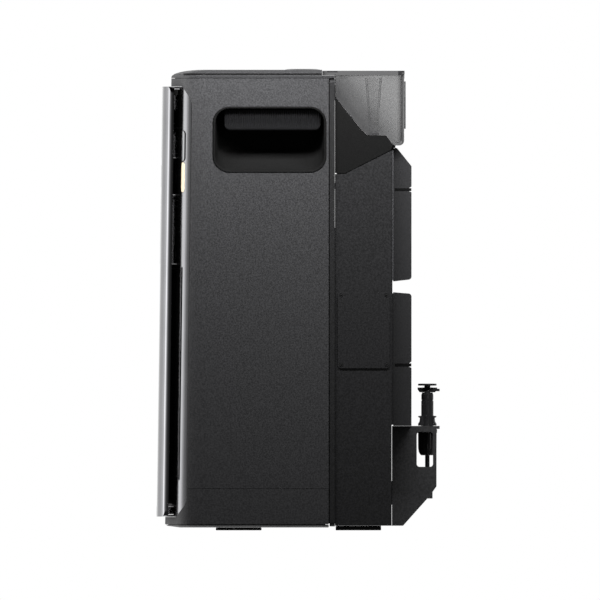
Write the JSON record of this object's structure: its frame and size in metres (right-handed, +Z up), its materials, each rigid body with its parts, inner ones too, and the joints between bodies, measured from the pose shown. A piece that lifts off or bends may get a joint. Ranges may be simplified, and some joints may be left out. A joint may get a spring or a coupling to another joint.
{
  "type": "soda carbonator",
  "caption": "Countertop sparkling-water maker with a leaning mirror-faced front door, side hand recesses, a rear smoked water tank and a rear push-fit inlet.",
  "frame": {"origin": "centre of the bounding box in plan, at the underside of the feet", "axes": "+Z up; the front faces -Y; +X is on the right of someone facing the front, the side the picture shows"},
  "size_m": [0.23, 0.272, 0.443],
  "materials": {
    "shell_plastic": "fine-grained charcoal texture",
    "chassis_coat": "textured black powder coat",
    "matte_black": "matt black",
    "gloss_black": "polished black",
    "dark_chrome": "dark mirror chrome",
    "silver": "satin silver plating",
    "smoke": "smoke-tinted clear plastic",
    "rubber": "matt black rubber",
    "warm_light": "warm white light guide",
    "steel": "satin steel",
    "brass": "machined brass",
    "aluminium": "satin aluminium",
    "grey_plastic": "mid-grey plastic",
    "board": "green lacquered board",
    "hose": "black tube"
  },
  "bodies": {
    "casing": {"base_pan": "matte_black", "foot_front_left": "rubber", "foot_front_right": "rubber", "foot_rear_left": "rubber", "foot_rear_right": "rubber", "body_shell": "shell_plastic", "lower_skirt": "shell_plastic", "top_cover": "shell_plastic", "rear_strip": "matte_black", "rear_chassis": "chassis_coat", "power_inlet": "matte_black", "service_panel": "chassis_coat", "panel_screw_1": "steel", "panel_screw_2": "steel", "panel_screw_3": "steel", "panel_screw_4": "steel", "tank_dock": "matte_black", "upper_rear_cover": "chassis_coat", "lower_rear_cover": "chassis_coat", "inlet_bracket": "chassis_coat", "inlet_fitting": "matte_black", "inlet_nut": "matte_black", "inlet_hose": "hose", "handle_pocket_right": "matte_black", "handle_grip_right": "matte_black", "handle_pocket_left": "matte_black", "handle_grip_left": "matte_black", "bezel_ring": "silver", "light_bar": "warm_light", "bay_housing": "matte_black", "nozzle": "steel", "hinge_upper": "steel", "hinge_lower": "steel", "gas_cylinder": "aluminium", "cylinder_valve": "brass", "regulator": "brass", "pressure_vessel": "steel", "water_pump": "grey_plastic", "solenoid_valve": "grey_plastic", "control_board": "board", "power_supply": "aluminium", "fan_frame": "matte_black", "gas_hose": "hose", "feed_hose": "hose"},
    "door": {"door_plate": "dark_chrome", "door_panel": "gloss_black", "alcove_collar": "gloss_black", "control_glass": "gloss_black"},
    "still_key_body": {"still_key": "silver"},
    "sparkling_key_body": {"sparkling_key": "silver"},
    "power_key_body": {"power_key": "silver"},
    "carbonate_button_body": {"carbonate_button": "silver"},
    "tank": {"water_tank": "smoke", "tank_valve": "grey_plastic"},
    "lid": {"tank_lid": "smoke"},
    "tray": {"drip_tray": "matte_black"},
    "grille": {"drip_grille": "steel"},
    "rotor": {"fan_rotor": "grey_plastic"},
    "collet": {"inlet_collet": "matte_black"},
    "clip": {"inlet_clip": "matte_black"}
  },
  "joints": [
    {"name": "door_hinge", "type": "hinge", "parent": "casing", "child": "door", "pos_m": [-0.0982, -0.11962, 0.222], "axis": [0, -0.014, -0.9999], "range_deg": [0, 110]},
    {"name": "still_key_press", "type": "slide", "parent": "door", "child": "still_key_body", "axis": [0, 1, 0], "range_m": [0, 0.001], "stiffness_N_per_m": 300, "springref_m": -0.002},
    {"name": "sparkling_key_press", "type": "slide", "parent": "door", "child": "sparkling_key_body", "axis": [0, 1, 0], "range_m": [0, 0.001], "stiffness_N_per_m": 300, "springref_m": -0.002},
    {"name": "power_key_press", "type": "slide", "parent": "casing", "child": "power_key_body", "axis": [0, 1, 0], "range_m": [0, 0.001], "stiffness_N_per_m": 300, "springref_m": -0.002},
    {"name": "carbonate_press", "type": "slide", "parent": "casing", "child": "carbonate_button_body", "axis": [0, 0, -1], "range_m": [0, 0.002], "stiffness_N_per_m": 300, "springref_m": -0.002},
    {"name": "tank_lift", "type": "slide", "parent": "casing", "child": "tank", "axis": [0, 0, 1], "range_m": [0, 0.095]},
    {"name": "lid_hinge", "type": "hinge", "parent": "tank", "child": "lid", "pos_m": [0, 0.1006, 0.4388], "axis": [-1, 0, 0], "range_deg": [0, 100]},
    {"name": "tray_slide", "type": "slide", "parent": "casing", "child": "tray", "axis": [0, -1, 0], "range_m": [0, 0.085]},
    {"name": "grille_lift", "type": "slide", "parent": "tray", "child": "grille", "axis": [0, 0, 1], "range_m": [0, 0.015]},
    {"name": "fan_spin", "type": "hinge", "parent": "casing", "child": "rotor", "pos_m": [0, 0.076, 0.306], "axis": [0, 1, 0], "continuous": true},
    {"name": "collet_press", "type": "slide", "parent": "casing", "child": "collet", "axis": [0, 0, -1], "range_m": [0, 0.001], "stiffness_N_per_m": 300, "springref_m": -0.002},
    {"name": "clip_pull", "type": "slide", "parent": "casing", "child": "clip", "axis": [0, 1, 0], "range_m": [0, 0.014]}
  ]
}
